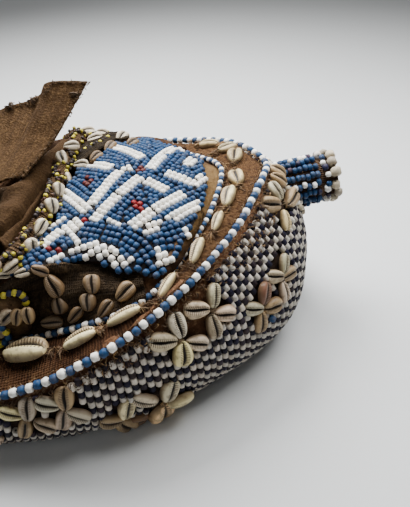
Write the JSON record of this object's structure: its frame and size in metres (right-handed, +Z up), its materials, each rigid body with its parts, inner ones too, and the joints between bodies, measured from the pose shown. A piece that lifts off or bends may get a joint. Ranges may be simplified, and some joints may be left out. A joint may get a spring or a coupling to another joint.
{
  "type": "mwaash ambooy mask",
  "caption": "Beaded helmet mask of hide, raffia cloth, glass beads and cowrie shells, lying face down, with a crown socket and a folded cloth hood.",
  "frame": {"origin": "middle of the mask's box, on the surface that it lies on", "axes": "+X from the chin to the crown and its tube, +Y to the far side, +Z up, away from the face"},
  "size_m": [0.377, 0.2724, 0.1583],
  "materials": {
    "dark_hide": "worn hide and cloth, matt",
    "navy_and_white_beads": "opaque glass seed beads, navy and off-white by turns",
    "blue_and_white_beads": "opaque glass seed beads, blue and white",
    "cowrie_shell": "natural cowrie shell, softly glossy, dusty in its folds",
    "raffia_cloth": "brown woven raffia, matt, frayed",
    "dark_raffia": "dark ribbed raffia cloth",
    "hood_raffia": "coarse stiff raffia cloth with a torn edge",
    "carved_wood": "carved wood, oiled"
  },
  "bodies": {
    "root": {"helmet_shell": "dark_hide", "checker_net": "navy_and_white_beads", "cowrie_flower_01": "cowrie_shell", "cowrie_flower_02": "cowrie_shell", "cowrie_flower_03": "cowrie_shell", "cowrie_flower_04": "cowrie_shell", "cowrie_flower_05": "cowrie_shell", "cowrie_flower_06": "cowrie_shell", "cowrie_flower_07": "cowrie_shell", "cowrie_flower_08": "cowrie_shell", "cowrie_flower_09": "cowrie_shell", "cowrie_flower_10": "cowrie_shell", "cowrie_flower_11": "cowrie_shell", "cowrie_flower_12": "cowrie_shell", "cowrie_flower_13": "cowrie_shell", "cowrie_flower_14": "cowrie_shell", "cowrie_flower_15": "cowrie_shell", "cowrie_flower_16": "cowrie_shell", "cowrie_flower_17": "cowrie_shell", "cowrie_flower_18": "cowrie_shell", "cowrie_flower_19": "cowrie_shell", "cowrie_flower_20": "cowrie_shell", "border_cloth_band": "raffia_cloth", "outer_bead_string": "blue_and_white_beads", "inner_bead_string": "blue_and_white_beads", "interlace_panel": "blue_and_white_beads", "near_step_cloth": "dark_raffia", "far_step_cloth": "dark_raffia", "neck_rim": "raffia_cloth", "near_ear": "dark_raffia", "far_ear": "dark_raffia", "crown_tube": "blue_and_white_beads", "hood_cloth": "hood_raffia", "face_board": "dark_hide", "face_nose": "carved_wood", "face_mouth": "carved_wood", "face_near_eye": "carved_wood", "face_far_eye": "carved_wood"}
  },
  "joints": []
}
